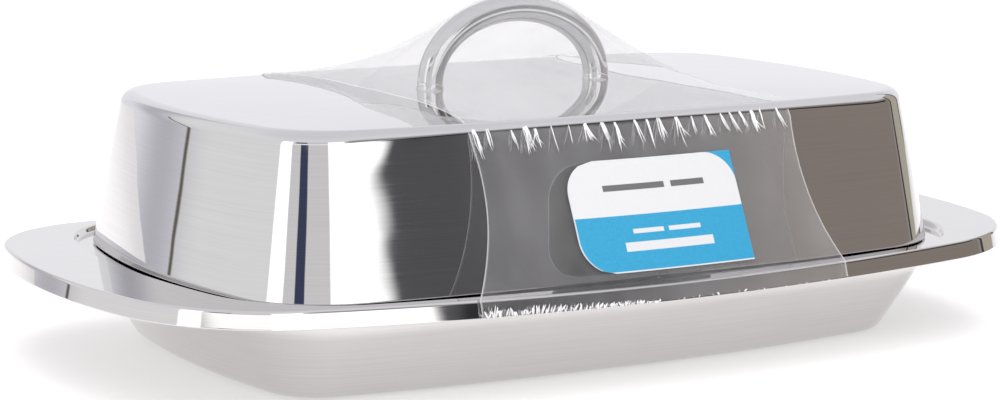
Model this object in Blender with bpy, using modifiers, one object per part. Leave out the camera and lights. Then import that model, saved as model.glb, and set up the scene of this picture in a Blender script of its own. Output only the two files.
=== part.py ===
"""Stainless steel butter dish: a flanged tray, a loose lid with a wire loop handle, and the clear shrink film
with a blank label that holds the two together until first use.

Blender 4.5, metres, +Z up. The origin is at the middle of the tray's base, on the surface it stands on.
+X runs along the dish and the label is on the -Y side.
"""

import math
from collections import namedtuple

import bmesh
import bpy
from mathutils import Vector

# An oval of four big arcs and four corner arcs. The bows are how far the long sides and the ends bulge.
Outline = namedtuple("Outline", "half_length half_width side_bow end_bow corner_radius")

# Lid
LID_LENGTH = 0.1500
LID_WIDTH = 0.0942
LID_SIDE_BOW = 0.0051
LID_END_BOW = 0.0087
LID_CORNER_RADIUS = 0.0199
LID_HEIGHT = 0.0277
LID_DRAFT = math.radians(11.9)
LID_SHOULDER_RADIUS = 0.0052
LID_CROWN = 0.0008
CROWN_RING_SCALES = (0.40, 0.80)
LID_SHEET = 0.0007

# Tray
TRAY_SHEET = 0.0008
SEAT_HEIGHT = 0.0176
SEAT_UNDER_LID = 0.0015
SEAT_OUTSIDE_LID = 0.0030
RECESS_SIDE_DEPTH = 0.0004
RECESS_DRAFT = 0.0004
FLANGE_SIDE_WIDTH = 0.0043
FLANGE_END_WIDTH = 0.0154
FLANGE_END_RISE = 0.0014
RIM_SIDE_BOW = 0.0100
RIM_END_BOW = 0.0130
RIM_CORNER_RADIUS = 0.0290
LIP_HEIGHT = 0.0031
LIP_FLARE = 0.0008
KNEE_BELOW_SEAT = 0.0043
BASE_SIDE_INSET = 0.0085
BASE_END_INSET = 0.0093
BASE_SIDE_BOW = 0.0056
BASE_END_BOW = 0.0041
BASE_CORNER_RADIUS = 0.0106
FLOOR_FLAT_MARGIN = 0.0070

# Fillets of the tray, on its upper side
FLOOR_FILLET = 0.0024
KNEE_FILLET = 0.0080
SEAT_FILLET = 0.0005
RECESS_FILLET = 0.0004
CREST_FILLET = 0.0006
CREASE_FILLET = 0.0006

# Handle
HANDLE_SPAN = 0.0356
HANDLE_RISE = 0.0136
HANDLE_STUB = 0.0006
WIRE_DIAMETER = 0.0048

# Shrink film and its label
FILM_THICKNESS = 0.00025
FILM_CLEARANCE = 0.0005
FILM_TOP_WIDTH = 0.0660
FILM_LIP_WIDTH = 0.0750
FILM_LIP_FILLET = 0.0012
LABEL_WIDTH = 0.0345
LABEL_HEIGHT = 0.0200
LABEL_ABOVE_RIM = 0.0025
LABEL_CORNER_RADIUS = 0.0060
LABEL_THICKNESS = 0.00025

# Gap that neighbouring pieces keep
GAP = 0.0003

# Facets
END_STEPS = 4
CORNER_STEPS = 7
SIDE_STEPS = 5
SHOULDER_STEPS = 5
HANDLE_STEPS = 24
HANDLE_BEVEL_RESOLUTION = 4
FILM_STATIONS = 16
FILM_SHOULDER_STEPS = 4
FILM_WIRE_STEPS = 2
FILM_LIP_STEPS = 2
LABEL_COLUMNS = 8
LABEL_CORNER_STEPS = 4
SHARP_ANGLE = math.radians(35)

# A fillet may take up to this share of the shorter of its two sides.
FILLET_SHARE = 0.48

# Heights that follow from the sizes
FLANGE_HEIGHT = SEAT_HEIGHT + RECESS_SIDE_DEPTH
LIP_LOW = FLANGE_HEIGHT - LIP_HEIGHT
LID_FOOT = SEAT_HEIGHT + GAP + LID_SHEET * math.sin(LID_DRAFT)
LID_SHOULDER = LID_FOOT + LID_HEIGHT
SHOULDER_INSET = LID_HEIGHT * math.tan(LID_DRAFT)

LID_OUTLINE = Outline(LID_LENGTH / 2, LID_WIDTH / 2, LID_SIDE_BOW, LID_END_BOW, LID_CORNER_RADIUS)
RIM_OUTLINE = Outline(
    LID_LENGTH / 2 + SEAT_OUTSIDE_LID + FLANGE_END_WIDTH,
    LID_WIDTH / 2 + SEAT_OUTSIDE_LID + FLANGE_SIDE_WIDTH,
    RIM_SIDE_BOW,
    RIM_END_BOW,
    RIM_CORNER_RADIUS,
)
BASE_OUTLINE = Outline(
    LID_LENGTH / 2 - BASE_END_INSET,
    LID_WIDTH / 2 - BASE_SIDE_INSET,
    BASE_SIDE_BOW,
    BASE_END_BOW,
    BASE_CORNER_RADIUS,
)


def clear_scene():
    for obj in list(bpy.data.objects):
        bpy.data.objects.remove(obj, do_unlink=True)


def polar(centre, radius, angle):
    return Vector((centre[0] + radius * math.cos(angle), centre[1] + radius * math.sin(angle)))


def arc_points(centre, radius, first, last, steps):
    """Points along an arc from its first angle to its last, both ends included."""
    return [polar(centre, radius, first + (last - first) * step / steps) for step in range(steps + 1)]


def side_radius(outline):
    """Radius of the long side's arc, which rises by the side bow over the half length."""
    return (outline.half_length**2 + outline.side_bow**2) / (2 * outline.side_bow)


def side_distance(outline, x, offset=0.0):
    """How far the outline's long side lies from the middle plane at this x, moved out by the offset."""
    radius = side_radius(outline)
    return outline.half_width - radius + math.sqrt((radius + offset) ** 2 - x**2)


def outline_points(outline, offset, height):
    """One ring of points round the outline, anticlockwise from +X, each arc's radius grown by the offset."""
    side = side_radius(outline)
    end = (outline.half_width**2 + outline.end_bow**2) / (2 * outline.end_bow)
    corner = outline.corner_radius
    side_centre = Vector((0.0, outline.half_width - side))
    end_centre = Vector((outline.half_length - end, 0.0))
    # The corner arc is tangent to both big arcs from inside, so its centre is where two circles cross.
    between = end_centre - side_centre
    distance = between.length
    along = ((side - corner) ** 2 - (end - corner) ** 2 + distance**2) / (2 * distance)
    across = math.sqrt((side - corner) ** 2 - along**2)
    unit = between / distance
    corner_centre = side_centre + unit * along + Vector((unit.y, -unit.x)) * across
    end_angle = math.atan2(corner_centre.y - end_centre.y, corner_centre.x - end_centre.x)
    side_angle = math.atan2(corner_centre.y - side_centre.y, corner_centre.x - side_centre.x)
    arcs = (
        (end_centre, end, 0.0, end_angle, END_STEPS),
        (corner_centre, corner, end_angle, side_angle, CORNER_STEPS),
        (side_centre, side, side_angle, math.pi / 2, SIDE_STEPS),
    )
    quarter = [
        polar(centre, radius + offset, first + (last - first) * step / steps)
        for centre, radius, first, last, steps in arcs
        for step in range(steps)
    ]
    quarter.append(Vector((0.0, outline.half_width + offset)))
    upper = quarter + [Vector((-p.x, p.y)) for p in reversed(quarter[:-1])]
    ring = upper + [Vector((p.x, -p.y)) for p in reversed(upper[1:-1])]
    return [Vector((p.x, p.y, height)) for p in ring]


def fillet(before, corner, after, radius, steps):
    """Points of an arc that rounds the corner between its two neighbours, as far as they leave room."""
    to_before = (before - corner).normalized()
    to_after = (after - corner).normalized()
    half_angle = to_before.angle(to_after) / 2
    room = FILLET_SHARE * min((before - corner).length, (after - corner).length)
    tangent = min(radius / math.tan(half_angle), room)
    reach = tangent * math.tan(half_angle)
    centre = corner + (to_before + to_after).normalized() * (tangent / math.cos(half_angle))
    start = (corner + to_before * tangent - centre).normalized()
    end = (corner + to_after * tangent - centre).normalized()
    return [centre + start.slerp(end, step / steps) * reach for step in range(steps + 1)]


def rounded_rings(rings, fillets):
    """Rings with the corner at each inner one rounded, by the (radius, steps) that fillets gives for it."""
    columns = []
    for column in zip(*rings):
        points = [column[0]]
        for index, (radius, steps) in enumerate(fillets, start=1):
            points += fillet(*column[index - 1 : index + 2], radius, steps)
        points.append(column[-1])
        columns.append(points)
    return [list(ring) for ring in zip(*columns)]


def material(name, colour, roughness, metallic, alpha=1.0):
    made = bpy.data.materials.new(name)
    made.use_nodes = True
    shader = made.node_tree.nodes["Principled BSDF"]
    shader.inputs["Base Color"].default_value = (*colour, 1.0)
    shader.inputs["Roughness"].default_value = roughness
    shader.inputs["Metallic"].default_value = metallic
    shader.inputs["Alpha"].default_value = alpha
    made.diffuse_color = (*colour, alpha)
    return made


def add_object(name, mesh, finish, collection):
    mesh.materials.append(finish)
    obj = bpy.data.objects.new(name, mesh)
    collection.objects.link(obj)
    return obj


def add_solidify(obj, thickness, offset):
    """Thickness is laid on the faces' front with offset 1 and on their back with offset -1."""
    shell = obj.modifiers.new("Sheet", "SOLIDIFY")
    shell.thickness = thickness
    shell.offset = offset
    shell.use_even_offset = True
    shell.use_quality_normals = True


def loft(name, rings, closed_loop, cap_start=None):
    """A mesh of quads between the rings. The first is closed by one flat face, or by a fan to a point."""
    made = bmesh.new()
    grid = [[made.verts.new(point) for point in ring] for ring in rings]
    count = len(rings[0])
    for inner, outer in zip(grid, grid[1:]):
        for i in range(count if closed_loop else count - 1):
            j = (i + 1) % count
            made.faces.new((inner[i], outer[i], outer[j], inner[j]))
    if cap_start == "face":
        made.faces.new(grid[0])
    elif cap_start is not None:
        tip = made.verts.new(cap_start)
        for i in range(count):
            made.faces.new((tip, grid[0][i], grid[0][(i + 1) % count]))
    mesh = bpy.data.meshes.new(name)
    made.to_mesh(mesh)
    made.free()
    mesh.shade_smooth()
    mesh.set_sharp_from_angle(angle=SHARP_ANGLE)
    return mesh


def flange_rise(x):
    """How much higher the flange lies at this x than at the middle of its long sides, as on a boat's gunwale."""
    return FLANGE_END_RISE * (x / RIM_OUTLINE.half_length) ** 2


def raised(points):
    return [point + Vector((0.0, 0.0, flange_rise(point.x))) for point in points]


def build_tray(finish, collection):
    """One pressed sheet: floor, sloping wall, upright knee, seat, recess step, flange and turned-down lip."""
    rings = [
        outline_points(BASE_OUTLINE, -FLOOR_FLAT_MARGIN, TRAY_SHEET),
        outline_points(BASE_OUTLINE, -TRAY_SHEET / 2, TRAY_SHEET),
        outline_points(LID_OUTLINE, -SEAT_UNDER_LID, SEAT_HEIGHT - KNEE_BELOW_SEAT),
        outline_points(LID_OUTLINE, -SEAT_UNDER_LID, SEAT_HEIGHT),
        outline_points(LID_OUTLINE, SEAT_OUTSIDE_LID, SEAT_HEIGHT),
        raised(outline_points(LID_OUTLINE, SEAT_OUTSIDE_LID + RECESS_DRAFT, FLANGE_HEIGHT)),
        raised(outline_points(RIM_OUTLINE, -LIP_FLARE, FLANGE_HEIGHT)),
        raised(outline_points(RIM_OUTLINE, 0.0, LIP_LOW)),
    ]
    fillets = [
        (FLOOR_FILLET, 3),
        (KNEE_FILLET, 2),
        (SEAT_FILLET, 1),
        (RECESS_FILLET, 1),
        (CREST_FILLET, 1),
        (CREASE_FILLET, 2),
    ]
    mesh = loft("tray", rounded_rings(rings, fillets), True, "face")
    tray = add_object("tray", mesh, finish, collection)
    add_solidify(tray, TRAY_SHEET, -1)


def crown_height(scale):
    """Height of the lid's slightly domed top where the shoulder outline is shrunk to this scale."""
    return LID_SHOULDER + LID_CROWN * (1 - scale**2)


def lid_top_at(x):
    """Height of the lid's top on its long axis."""
    return crown_height(x / (LID_LENGTH / 2 - SHOULDER_INSET))


def build_lid(finish, collection):
    """A drawn cover: drafted walls, one shoulder radius all round and a top with a slight crown."""
    foot = outline_points(LID_OUTLINE, 0.0, LID_FOOT)
    shoulder = outline_points(LID_OUTLINE, -SHOULDER_INSET, LID_SHOULDER)
    crown = [
        [Vector((p.x * scale, p.y * scale, crown_height(scale))) for p in shoulder]
        for scale in CROWN_RING_SCALES
    ]
    wall = rounded_rings([crown[-1], shoulder, foot], [(LID_SHOULDER_RADIUS, SHOULDER_STEPS)])
    tip = Vector((0.0, 0.0, crown_height(0.0)))
    mesh = loft("lid_shell", crown[:-1] + wall, True, tip)
    lid = add_object("lid_shell", mesh, finish, collection)
    add_solidify(lid, LID_SHEET, -1)


def build_handle(finish, collection):
    """A round wire bent to a half ellipse, standing on the lid along its length."""
    radius = HANDLE_SPAN / 2
    foot = lid_top_at(radius) + GAP
    rise = HANDLE_RISE - HANDLE_STUB
    points = [(-radius, 0.0, foot)]
    for step in range(HANDLE_STEPS + 1):
        angle = math.pi * (1 - step / HANDLE_STEPS)
        points.append((radius * math.cos(angle), 0.0, foot + HANDLE_STUB + rise * math.sin(angle)))
    points.append((radius, 0.0, foot))
    curve = bpy.data.curves.new("lid_handle", "CURVE")
    curve.dimensions = "3D"
    curve.bevel_depth = WIRE_DIAMETER / 2
    curve.bevel_resolution = HANDLE_BEVEL_RESOLUTION
    curve.use_fill_caps = True
    spline = curve.splines.new("POLY")
    spline.points.add(len(points) - 1)
    for point, place in zip(spline.points, points):
        point.co = (*place, 1.0)
    curve.materials.append(finish)
    collection.objects.link(bpy.data.objects.new("lid_handle", curve))


def ridge_height(x):
    """Inner face of the film over the middle plane: it lies on the handle, then runs straight to its edge."""
    centre = lid_top_at(HANDLE_SPAN / 2) + GAP
    wide = HANDLE_SPAN / 2 + WIRE_DIAMETER / 2 + FILM_CLEARANCE
    high = HANDLE_RISE + WIRE_DIAMETER / 2 + FILM_CLEARANCE
    edge_x = FILM_TOP_WIDTH / 2
    # The extra crown height keeps the straight run down to the shoulder clear of the domed top.
    edge_z = lid_top_at(edge_x) + FILM_CLEARANCE + LID_CROWN - centre
    # Squeezed to a circle, the handle's outer ellipse has its tangent from the edge at this angle.
    edge_angle = math.atan2(edge_z * wide / high, edge_x)
    edge_distance = math.hypot(edge_x, edge_z * wide / high)
    touch = edge_angle + math.acos(wide / edge_distance)
    touch_x = wide * math.cos(touch)
    touch_z = high * math.sin(touch)
    if abs(x) <= touch_x:
        return centre + high * math.sqrt(1 - (x / wide) ** 2)
    return centre + touch_z + (edge_z - touch_z) * (abs(x) - touch_x) / (edge_x - touch_x)


def shoulder_circle(x):
    """The film's bend over the lid's shoulder: its middle, as distance out and height, and its radius."""
    wall_inset = (LID_HEIGHT - LID_SHOULDER_RADIUS) * math.tan(LID_DRAFT)
    distance = side_distance(LID_OUTLINE, x, -wall_inset) - LID_SHOULDER_RADIUS / math.cos(LID_DRAFT)
    height = crown_height(distance / (LID_WIDTH / 2 - SHOULDER_INSET)) - LID_SHOULDER_RADIUS
    return Vector((distance, height)), LID_SHOULDER_RADIUS + FILM_CLEARANCE


def shoulder_tangent(x, start):
    """Angle on the shoulder circle where a taut sheet from the start point first touches it."""
    centre, radius = shoulder_circle(x)
    away = start - centre
    return math.atan2(away.y, away.x) + math.acos(radius / away.length)


def rim_crease(x):
    """Where the film bends over the tray's rim, as distance out and height."""
    distance = side_distance(RIM_OUTLINE, x, FILM_CLEARANCE - LIP_FLARE)
    return Vector((distance, FLANGE_HEIGHT + flange_rise(x)))


def torn_edge(x):
    """Where the film ends beside the foot of the lip, as distance out and height."""
    distance = side_distance(RIM_OUTLINE, x, FILM_CLEARANCE)
    return Vector((distance, LIP_LOW + GAP + flange_rise(x)))


def film_half_section(share):
    """The film's inner face from its torn edge at the lip up to the ridge: points (x, distance, height)."""
    lip_x = share * FILM_LIP_WIDTH / 2
    top_x = share * FILM_TOP_WIDTH / 2
    torn = Vector((lip_x, *torn_edge(lip_x)))
    crease = rim_crease(lip_x)
    centre, radius = shoulder_circle(top_x)
    start_angle = shoulder_tangent(top_x, crease)
    wire_radius = WIRE_DIAMETER / 2 + FILM_CLEARANCE
    wire = Vector((0.0, ridge_height(top_x) - wire_radius))
    # The common tangent of the two bends has the same normal angle on both.
    between = wire - centre
    turn = math.acos((radius - wire_radius) / between.length)
    end_angle = math.atan2(between.y, between.x) - turn
    shoulder = arc_points(centre, radius, start_angle, end_angle, FILM_SHOULDER_STEPS)
    over_wire = arc_points(wire, wire_radius, end_angle, math.pi / 2, FILM_WIRE_STEPS)
    bend = fillet(
        torn,
        Vector((lip_x, *crease)),
        Vector((top_x, *shoulder[0])),
        FILM_LIP_FILLET,
        FILM_LIP_STEPS,
    )
    upper = [Vector((top_x, *point)) for point in shoulder + over_wire]
    return [torn] + bend + upper


def build_film(finish, collection):
    """Taut clear film from the front lip over the shoulder, handle and far shoulder to the back lip."""
    rows = []
    for station in range(FILM_STATIONS + 1):
        half = film_half_section(2 * station / FILM_STATIONS - 1)
        front = [Vector((p.x, -p.y, p.z)) for p in half]
        back = [Vector((p.x, p.y, p.z)) for p in reversed(half[:-1])]
        rows.append(front + back)
    mesh = loft("film_cover", rows, False)
    film = add_object("film_cover", mesh, finish, collection)
    add_solidify(film, FILM_THICKNESS, 1)


def front_panel_point(x, up, lift):
    """A point on the film's front panel, so far up it from the rim and lifted off its inner face."""
    low = rim_crease(x)
    centre, radius = shoulder_circle(x)
    high = polar(centre, radius, shoulder_tangent(x, low))
    slope = (high - low).normalized()
    normal = Vector((-slope.y, slope.x))
    if normal.x < 0:
        normal = -normal
    place = low + slope * up + normal * lift
    return Vector((x, -place.x, place.y))


def build_label(finish, collection):
    """A blank sticker on the front panel, with round corners on its left side only."""
    radius = LABEL_CORNER_RADIUS
    rows = []
    for corner_middle, sign in ((radius, -1), (LABEL_HEIGHT - radius, 1)):
        steps = [LABEL_CORNER_STEPS - k if sign < 0 else k for k in range(LABEL_CORNER_STEPS + 1)]
        for step in steps:
            angle = math.pi / 2 * step / LABEL_CORNER_STEPS
            rows.append((corner_middle + sign * radius * math.sin(angle), radius * (1 - math.cos(angle))))
    lift = FILM_THICKNESS + GAP
    grid = [
        [
            front_panel_point(
                -LABEL_WIDTH / 2 + cut + (LABEL_WIDTH - cut) * column / LABEL_COLUMNS,
                LABEL_ABOVE_RIM + up,
                lift,
            )
            for column in range(LABEL_COLUMNS + 1)
        ]
        for up, cut in rows
    ]
    mesh = loft("film_label", [list(reversed(row)) for row in grid], False)
    label = add_object("film_label", mesh, finish, collection)
    add_solidify(label, LABEL_THICKNESS, 1)


def main():
    clear_scene()
    dish = bpy.data.collections.new("butter_dish")
    bpy.context.scene.collection.children.link(dish)
    build_tray(material("tray_steel", (0.78, 0.78, 0.80), 0.10, 1.0), dish)
    build_lid(material("lid_steel", (0.76, 0.76, 0.79), 0.08, 1.0), dish)
    build_handle(material("handle_steel", (0.72, 0.72, 0.73), 0.12, 1.0), dish)
    build_film(material("clear_film", (0.93, 0.94, 0.96), 0.08, 0.0, 0.15), dish)
    build_label(material("printed_label", (0.10, 0.45, 0.75), 0.35, 0.0), dish)


main()
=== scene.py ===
"""Looks of the stainless steel butter dish: polished steel, clear shrink film with its torn fringes, and a
label without words, in a plain pale studio. Metres, +Z up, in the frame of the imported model.
"""

import math
import random
from collections import namedtuple

import bmesh
import bpy
import numpy as np
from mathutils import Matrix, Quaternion, Vector, noise


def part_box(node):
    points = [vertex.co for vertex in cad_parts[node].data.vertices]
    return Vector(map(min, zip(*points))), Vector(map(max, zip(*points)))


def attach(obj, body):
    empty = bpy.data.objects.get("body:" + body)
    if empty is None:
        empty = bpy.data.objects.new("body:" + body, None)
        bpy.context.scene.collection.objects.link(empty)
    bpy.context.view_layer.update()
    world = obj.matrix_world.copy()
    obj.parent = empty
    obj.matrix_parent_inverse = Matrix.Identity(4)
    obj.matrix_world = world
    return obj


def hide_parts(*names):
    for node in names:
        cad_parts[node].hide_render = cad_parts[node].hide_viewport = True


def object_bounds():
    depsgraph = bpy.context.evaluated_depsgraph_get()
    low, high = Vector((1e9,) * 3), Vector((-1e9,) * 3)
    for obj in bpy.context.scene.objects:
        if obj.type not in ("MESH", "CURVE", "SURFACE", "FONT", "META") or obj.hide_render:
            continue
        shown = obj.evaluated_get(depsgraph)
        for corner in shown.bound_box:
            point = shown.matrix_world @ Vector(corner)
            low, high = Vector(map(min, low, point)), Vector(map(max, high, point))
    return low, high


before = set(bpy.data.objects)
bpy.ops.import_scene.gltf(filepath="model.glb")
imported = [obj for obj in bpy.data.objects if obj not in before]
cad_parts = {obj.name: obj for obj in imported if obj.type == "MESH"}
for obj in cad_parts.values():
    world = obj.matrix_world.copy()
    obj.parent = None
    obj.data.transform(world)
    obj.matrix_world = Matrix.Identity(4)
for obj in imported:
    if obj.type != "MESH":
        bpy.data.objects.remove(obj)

CAD_LOW, CAD_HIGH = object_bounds()

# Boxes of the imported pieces, which give every overall size below
TRAY_LOW, TRAY_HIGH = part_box("tray")
LID_LOW, LID_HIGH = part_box("lid_shell")
WIRE_LOW, WIRE_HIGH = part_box("lid_handle")
LABEL_LOW, LABEL_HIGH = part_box("film_label")

# An oval of four big arcs and four corner arcs. The bows are how far the long sides and the ends bulge.
Outline = namedtuple("Outline", "half_length half_width side_bow end_bow corner_radius")

# Air between neighbours that touch
GAP = 0.0003

# Lid
LID_OUTLINE = Outline(LID_HIGH.x, LID_HIGH.y, 0.0051, 0.0087, 0.0199)
LID_DRAFT = math.radians(11.9)
LID_SHOULDER_RADIUS = 0.0052
LID_CROWN = 0.0008
LID_SHEET = 0.0007
LID_SETTLES = 0.0002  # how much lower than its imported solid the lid's foot stands
LID_SHOULDER = LID_HIGH.z - LID_CROWN
LID_FOOT = LID_LOW.z + LID_SHEET * math.sin(LID_DRAFT)
LID_HEIGHT = LID_SHOULDER - LID_FOOT
SHOULDER_INSET = LID_HEIGHT * math.tan(LID_DRAFT)

# Tray
RIM_OUTLINE = Outline(TRAY_HIGH.x, TRAY_HIGH.y, 0.0100, 0.0130, 0.0290)
BASE_OUTLINE = Outline(LID_HIGH.x - 0.0093, LID_HIGH.y - 0.0085, 0.0056, 0.0041, 0.0106)
TRAY_SHEET = 0.0008
FLANGE_END_RISE = 0.0014
FLANGE_HEIGHT = TRAY_HIGH.z - FLANGE_END_RISE
RECESS_DRAFT = 0.0004
SEAT_HEIGHT = LID_LOW.z - GAP
SEAT_UNDER_LID = 0.0015
SEAT_OUTSIDE_LID = 0.0030
KNEE_BELOW_SEAT = 0.0043
LIP_HEIGHT = 0.0031
LIP_FLARE = 0.0008
FLOOR_FLAT_MARGIN = 0.0070
FLOOR_FILLET = 0.0024
KNEE_FILLET = 0.0080
SEAT_FILLET = 0.0005
RECESS_FILLET = 0.0004
CREST_FILLET = 0.0006
CREASE_FILLET = 0.0006

# Cut edges of both sheets, and the sharpest inside bend
CUT_EDGE_RADIUS = 0.0002
LEAST_BEND_RADIUS = 0.00012

# How far from true each pressing is: depth, reach and seed of its waves. The noise they share has a seed of
# its own, because it would differ from run to run without one.
WAVE_NOISE_SEED = 5
TRAY_WAVE = (0.00009, 0.030, 3.1)
LID_WAVE = (0.00010, 0.026, 7.7)
HANDLE_WAVE = (0.00004, 0.012, 1.3)

# Handle
WIRE_RADIUS = (WIRE_HIGH.y - WIRE_LOW.y) / 2
HANDLE_HALF_SPAN = WIRE_HIGH.x - WIRE_RADIUS
HANDLE_STUB = 0.0006
WELD_FLARE = 0.00025
WELD_HEIGHT = 0.0004

# Shrink film
FILM_SHEET = 0.00010
FILM_CLEARANCE = 0.0005
FILM_TOP_HALF = 0.0330
FILM_LIP_HALF = 0.0375
FILM_LIP_FILLET = 0.0012
FILM_EDGE_PULL = 0.065
FILM_TEAR = 0.0005

# Label, which stands a gap off the film. The back shift marks its inner face in its layout map.
LABEL_WIDTH = LABEL_HIGH.x - LABEL_LOW.x
LABEL_HEIGHT = 0.0200
LABEL_ABOVE_RIM = 0.0025
LABEL_CORNER_RADIUS = 0.0060
LABEL_SHEET = 0.00018
LABEL_BACK_SHIFT = 3.0

# Facets
HANDLE_STEPS = 96
STUB_STEPS = 8
WIRE_SIDES = 32
FILM_STATIONS = 96
FILM_BEND_STEPS = 6
FILM_PANEL_STEPS = 24
LABEL_COLUMNS = 40
LABEL_ROWS = 28
STRAND_STEPS = 6
STRAND_SIDES = 4
END_STEPS = 16
CORNER_STEPS = 26
SIDE_STEPS = 40
FILLET_STEPS = 8
SHOULDER_STEPS = 16
FLOOR_RINGS = 10
CROWN_RINGS = 16
SHARP_ANGLE = math.radians(35)

# A fillet takes at most this share of the stretch beside it
FILLET_SHARE = 0.48

# The longest stretch with no ring, and how close to a bend the next ring holds a stretch that is long enough
LONGEST_STRETCH = 0.0025
BEND_HOLD = 0.00008
HELD_STRETCH = 6 * BEND_HOLD

# Torn fringes, whose pairs are the least and the most of a random draw
FRINGE_SEED = 11
FRINGE_MARGIN = 0.0010
TUFT_THREADS = (1, 3, 5, 6, 8)
TUFT_DROP = (0.0020, 0.0044)
TUFT_STEP = (0.0018, 0.0046)
TUFT_LEAN = (-0.0003, 0.0006)
TUFT_OVER_SHOULDER = (0.0012, 0.0030)
TUFT_SHORTER = 0.35
TUFT_SHORTER_FROM = 0.75
THREAD_APART = 0.00012
THREAD_SPREAD = 0.00022
THREAD_LENGTH = (0.55, 1.1)
THREAD_LIFT = (0.0003, 0.0009)
THREAD_CURL = (-0.0003, 0.0003)
THREAD_RADIUS = (0.00006, 0.00011)
THREAD_CLEARANCE = 0.00006
TOOTH_HEIGHT = 0.0021
TOOTH_CROWDED = 0.45
TOOTH_CLUSTER = (2, 3, 4)
TOOTH_STEP = (0.0006, 0.0012)
TOOTH_SPARSE = 5.0
TOOTH_TAPER = 1.6
TOOTH_LEAST = 0.22
TOOTH_APART = 0.0003
TOOTH_CLEARANCE = 0.00012
TOOTH_ROOT = (0.0, 0.0003)
TOOTH_RISE = (0.35, 1.0)
TOOTH_LEAN = 0.0003
TOOTH_OUT = (0.0, 0.00025)
TOOTH_RADIUS = (0.00007, 0.00014)

# Print on the label, in millimetres, and its bars as shares of its width and height: left, right, low, high
PRINT_CORNER = 6.0
PRINT_SOFT = 0.05
PRINT_BORDER = 0.22
PRINT_SPLIT = 0.50
PRINT_BARS = (
    (0.20, 0.56, 0.72, 0.775, (0.12, 0.12, 0.125)),
    (0.60, 0.80, 0.72, 0.775, (0.12, 0.12, 0.125)),
    (0.32, 0.50, 0.335, 0.375, (0.62, 0.63, 0.64)),
    (0.53, 0.72, 0.335, 0.375, (0.62, 0.63, 0.64)),
    (0.26, 0.78, 0.18, 0.26, (0.62, 0.63, 0.64)),
)

# Steel: each pressing's tint and least roughness, then the noise that marks it, in turns a metre
TRAY_FINISH = ((0.68, 0.665, 0.66), 0.012)
LID_FINISH = ((0.68, 0.672, 0.672), 0.008)
HANDLE_FINISH = ((0.62, 0.612, 0.61), 0.02)
WALL_GRAIN = (28.0, 28.0, 3600.0)
TOP_GRAIN = (28.0, 3600.0, 28.0)
SMUDGES = (38.0, 38.0, 55.0)
WIPES = (14.0, 90.0, 90.0)
DENTS = (95.0, 95.0, 95.0)
SMUDGE_ROUGHNESS = 0.02
GRAIN_ROUGHNESS = 0.012
WIPE_ROUGHNESS = 0.006
LEAST_SHADE = 0.92
GRAIN_SHADE = 0.16
SMUDGE_SHADE = -0.02
GRAIN_DEPTH = 0.00000018
DENT_DEPTH = 0.00002

# The light tent, by direction in degrees: azimuth 0 is the front and 90 the right. Colours are linear, and
# each panel is laid over those before it.
Panel = namedtuple("Panel", "left right low high soft slant ripple colour")
PANELS = (
    Panel(-185.0, -83.0, -20.0, 30.0, 1.0, 0.0, 0.0, (0.95, 0.95, 0.96)),
    Panel(-260.0, -143.8, -20.0, 60.0, 0.7, -1.0, 0.0, (0.92, 0.92, 0.98)),
    Panel(-162.0, -143.8, -20.0, 45.0, 9.0, -1.0, 0.0, (0.60, 0.60, 0.65)),
    Panel(-144.7, -143.5, -20.0, 16.5, 0.4, -1.0, 0.0, (0.16, 0.15, 0.12)),
    Panel(-83.0, -66.0, -20.0, 30.0, 1.0, 0.0, 1.0, (1.80, 1.80, 1.80)),
    Panel(-66.0, -18.0, -20.0, 30.0, 1.0, 0.0, 0.0, (0.80, 0.79, 0.80)),
    Panel(-54.0, -44.0, 9.5, 15.5, 0.7, 0.0, 1.5, (0.06, 0.07, 0.13)),
    Panel(-66.0, 18.0, 16.0, 18.0, 0.6, 0.0, 0.0, (1.50, 1.50, 1.50)),
    Panel(-62.0, -46.0, 21.5, 28.0, 1.5, 0.0, 0.0, (0.08, 0.085, 0.10)),
    Panel(8.0, 55.0, 18.0, 26.0, 7.0, 0.0, 0.0, (0.13, 0.125, 0.13)),
    Panel(12.0, 56.0, -8.0, 18.0, 0.5, 0.0, 0.0, (0.15, 0.143, 0.148)),
    Panel(12.0, 24.0, -8.0, 18.0, 2.0, 0.0, 0.0, (0.11, 0.11, 0.118)),
    Panel(40.0, 84.0, -8.0, 26.0, 6.0, 0.0, 0.0, (0.30, 0.258, 0.232)),
    Panel(20.0, 75.0, 13.5, 19.0, 0.8, 0.0, 0.0, (0.04, 0.04, 0.043)),
    Panel(82.0, 86.0, -8.0, 30.0, 1.0, 0.0, 0.0, (0.07, 0.065, 0.06)),
    Panel(86.0, 105.0, -8.0, 30.0, 1.0, 0.0, 0.0, (0.52, 0.48, 0.40)),
    Panel(105.0, 109.0, -8.0, 40.0, 1.5, 0.0, 0.0, (0.10, 0.10, 0.10)),
    Panel(-18.0, 4.0, -8.0, 27.0, 1.2, 0.0, 0.0, (1.75, 1.75, 1.75)),
    Panel(-6.0, 18.3, -8.0, 17.5, 0.6, 0.0, 4.0, (1.75, 1.75, 1.75)),
)
RIPPLES_PER_DEGREE = 0.38
FLOOR_SIZE = 6.0
FLOOR_COLOUR = (0.64, 0.62, 0.615)
FLOOR_GLOW = 0.42
FLOOR_DROP = 0.0003
KEY_WATTS = 4.0
TOP_WATTS = 4.0

# Camera
CAMERA_AZIMUTH = -30.494
CAMERA_ELEVATION = 9.221
CAMERA_ROLL = 0.333
CAMERA_LENS = 104.26
CAMERA_DISTANCE = 0.53934
CAMERA_AIM = Vector((-0.0021, 0.0013, -0.0072))

# Folds of the film: finer across than along, on top of a broad swell
FOLD_ACROSS = 0.0035
FOLD_ALONG = 0.030
FOLD_DEPTH = 0.00022
SWELL_REACH = 0.016
SWELL_DEPTH = 0.00035


# ---------------------------------------------------------------- shapes


def unit(vectors):
    return vectors / np.linalg.norm(vectors, axis=-1, keepdims=True)


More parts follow.
